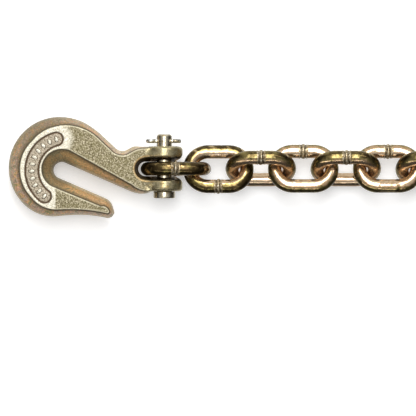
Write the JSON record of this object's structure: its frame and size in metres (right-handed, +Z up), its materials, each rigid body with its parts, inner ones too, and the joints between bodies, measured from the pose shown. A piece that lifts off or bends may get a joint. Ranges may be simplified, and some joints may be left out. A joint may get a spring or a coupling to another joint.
{
  "type": "load binder chain",
  "caption": "Short run of welded chain with a clevis grab hook, pin and split cotter at each end; every link swings on the next and both hooks swing on their pins.",
  "frame": {"origin": "on the surface the chain lies on, midway between the two hooks and midway across them", "axes": "+X along the chain from the left hook to the right hook, +Y towards the hooks' crests and the cotters, +Z up out of the surface"},
  "size_m": [0.6708, 0.0723, 0.0363],
  "materials": {
    "hook_chromate": "shot-blasted forging, yellow chromate over zinc, speckled olive-gold face and iridescent rim",
    "chain_chromate": "polished yellow chromate over zinc, dark gold with bright edges",
    "pin_zinc": "bright zinc plate, lightly brushed",
    "cotter_zinc": "bright zinc plate on drawn wire"
  },
  "bodies": {
    "hook_left": {"hook_left": "hook_chromate"},
    "pin_left": {"pin_left": "pin_zinc", "cotter_left": "cotter_zinc"},
    "link_01": {"link_01": "chain_chromate"},
    "link_02": {"link_02": "chain_chromate"},
    "link_03": {"link_03": "chain_chromate"},
    "link_04": {"link_04": "chain_chromate"},
    "link_05": {"link_05": "chain_chromate"},
    "link_06": {"link_06": "chain_chromate"},
    "link_07": {"link_07": "chain_chromate"},
    "link_08": {"link_08": "chain_chromate"},
    "link_09": {"link_09": "chain_chromate"},
    "link_10": {"link_10": "chain_chromate"},
    "link_11": {"link_11": "chain_chromate"},
    "link_12": {"link_12": "chain_chromate"},
    "link_13": {"link_13": "chain_chromate"},
    "link_14": {"link_14": "chain_chromate"},
    "link_15": {"link_15": "chain_chromate"},
    "hook_right": {"hook_right": "hook_chromate"},
    "pin_right": {"pin_right": "pin_zinc", "cotter_right": "cotter_zinc"}
  },
  "joints": [
    {"name": "pin_left_spin", "type": "hinge", "parent": "hook_left", "child": "pin_left", "pos_m": [-0.22325, -0.00125, 0.018], "axis": [0, 1, 0], "continuous": true},
    {"name": "clevis_left_swing", "type": "hinge", "parent": "hook_left", "child": "link_01", "pos_m": [-0.22325, -0.00125, 0.018], "axis": [0, 1, 0], "range_deg": [-100, 100]},
    {"name": "link_01_to_02", "type": "hinge", "parent": "link_01", "child": "link_02", "pos_m": [-0.19425, -0.00125, 0.018], "axis": [0, 0.1478, 0.989], "range_deg": [-62, 62]},
    {"name": "link_02_to_03", "type": "hinge", "parent": "link_02", "child": "link_03", "pos_m": [-0.16355, -0.00125, 0.018], "axis": [0, 0.891, -0.454], "range_deg": [-80, 80]},
    {"name": "link_03_to_04", "type": "hinge", "parent": "link_03", "child": "link_04", "pos_m": [-0.13285, -0.00125, 0.018], "axis": [0, -0.454, -0.891], "range_deg": [-80, 80]},
    {"name": "link_04_to_05", "type": "hinge", "parent": "link_04", "child": "link_05", "pos_m": [-0.10215, -0.00125, 0.018], "axis": [0, -0.891, 0.454], "range_deg": [-80, 80]},
    {"name": "link_05_to_06", "type": "hinge", "parent": "link_05", "child": "link_06", "pos_m": [-0.07145, -0.00125, 0.018], "axis": [0, 0.454, 0.891], "range_deg": [-80, 80]},
    {"name": "link_06_to_07", "type": "hinge", "parent": "link_06", "child": "link_07", "pos_m": [-0.04075, -0.00125, 0.018], "axis": [0, 0.891, -0.454], "range_deg": [-80, 80]},
    {"name": "link_07_to_08", "type": "hinge", "parent": "link_07", "child": "link_08", "pos_m": [-0.01005, -0.00125, 0.018], "axis": [0, -0.454, -0.891], "range_deg": [-80, 80]},
    {"name": "link_08_to_09", "type": "hinge", "parent": "link_08", "child": "link_09", "pos_m": [0.02065, -0.00125, 0.018], "axis": [0, -0.891, 0.454], "range_deg": [-80, 80]},
    {"name": "link_09_to_10", "type": "hinge", "parent": "link_09", "child": "link_10", "pos_m": [0.05135, -0.00125, 0.018], "axis": [0, 0.454, 0.891], "range_deg": [-80, 80]},
    {"name": "link_10_to_11", "type": "hinge", "parent": "link_10", "child": "link_11", "pos_m": [0.08205, -0.00125, 0.018], "axis": [0, 0.891, -0.454], "range_deg": [-80, 80]},
    {"name": "link_11_to_12", "type": "hinge", "parent": "link_11", "child": "link_12", "pos_m": [0.11275, -0.00125, 0.018], "axis": [0, -0.454, -0.891], "range_deg": [-80, 80]},
    {"name": "link_12_to_13", "type": "hinge", "parent": "link_12", "child": "link_13", "pos_m": [0.14345, -0.00125, 0.018], "axis": [0, -0.891, 0.454], "range_deg": [-80, 80]},
    {"name": "link_13_to_14", "type": "hinge", "parent": "link_13", "child": "link_14", "pos_m": [0.17415, -0.00125, 0.018], "axis": [0, 0.454, 0.891], "range_deg": [-80, 80]},
    {"name": "link_14_to_15", "type": "hinge", "parent": "link_14", "child": "link_15", "pos_m": [0.20485, -0.00125, 0.018], "axis": [0, 0.989, -0.1478], "range_deg": [-80, 80]},
    {"name": "clevis_right_swing", "type": "hinge", "parent": "link_15", "child": "hook_right", "pos_m": [0.22325, -0.00125, 0.018], "axis": [0, -1, 0], "range_deg": [-100, 100]},
    {"name": "pin_right_spin", "type": "hinge", "parent": "hook_right", "child": "pin_right", "pos_m": [0.22325, -0.00125, 0.018], "axis": [0, 1, 0], "continuous": true}
  ]
}
